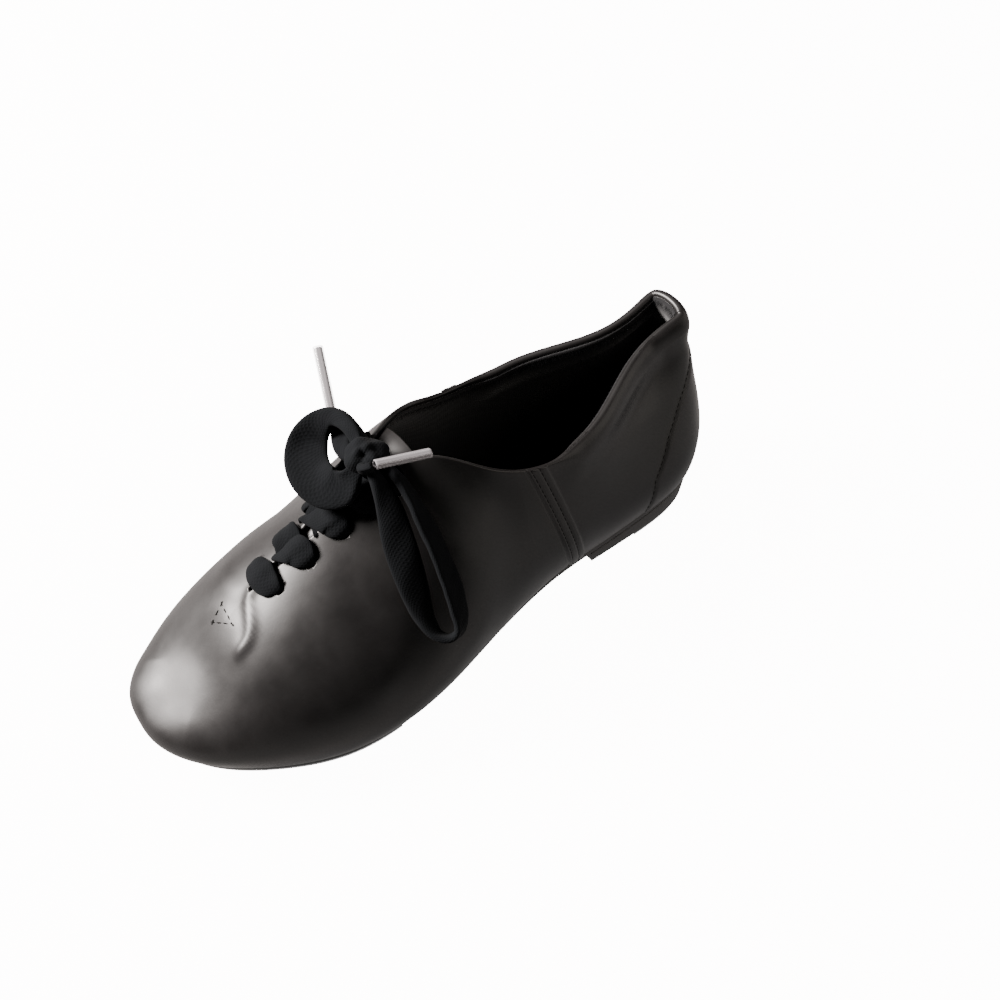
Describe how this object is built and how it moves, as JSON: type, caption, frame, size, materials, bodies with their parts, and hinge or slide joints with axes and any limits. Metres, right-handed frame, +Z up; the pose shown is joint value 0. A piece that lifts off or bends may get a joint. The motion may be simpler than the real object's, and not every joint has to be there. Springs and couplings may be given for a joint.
{
  "type": "tap shoe",
  "caption": "Low black leather tap shoe for the left foot, with a padded collar, wide soft laces in a bow, a low heel and metal plates under toe and heel.",
  "frame": {"origin": "middle of the shoe's plan on the floor, laces' bow left out of the measure", "axes": "+X towards the toe, +Y towards the shoe's outer side, +Z up"},
  "size_m": [0.2502, 0.1033, 0.106],
  "materials": {
    "leather": "satin",
    "textile": "matte",
    "sole": "satin",
    "plate": "polished",
    "lace": "matte",
    "clear": "clear gloss"
  },
  "bodies": {
    "root": {"upper": "leather", "tongue": "leather", "insole": "textile", "outsole": "sole", "heel": "sole", "heel_tap": "plate", "toe_tap": "plate", "toe_tap_screw_1": "plate", "toe_tap_screw_2": "plate", "toe_tap_screw_3": "plate", "heel_tap_screw_1": "plate", "heel_tap_screw_2": "plate", "heel_tap_screw_3": "plate", "lace_bar": "lace", "lace_crossing_1": "lace", "lace_crossing_2": "lace", "lace_crossing_3": "lace", "lace_crossing_4": "lace", "lace_knot": "lace", "lace_loop_inner": "lace", "lace_loop_outer": "lace", "lace_end_inner": "lace", "lace_end_outer": "lace", "aglet_inner": "clear", "aglet_outer": "clear"}
  },
  "joints": []
}
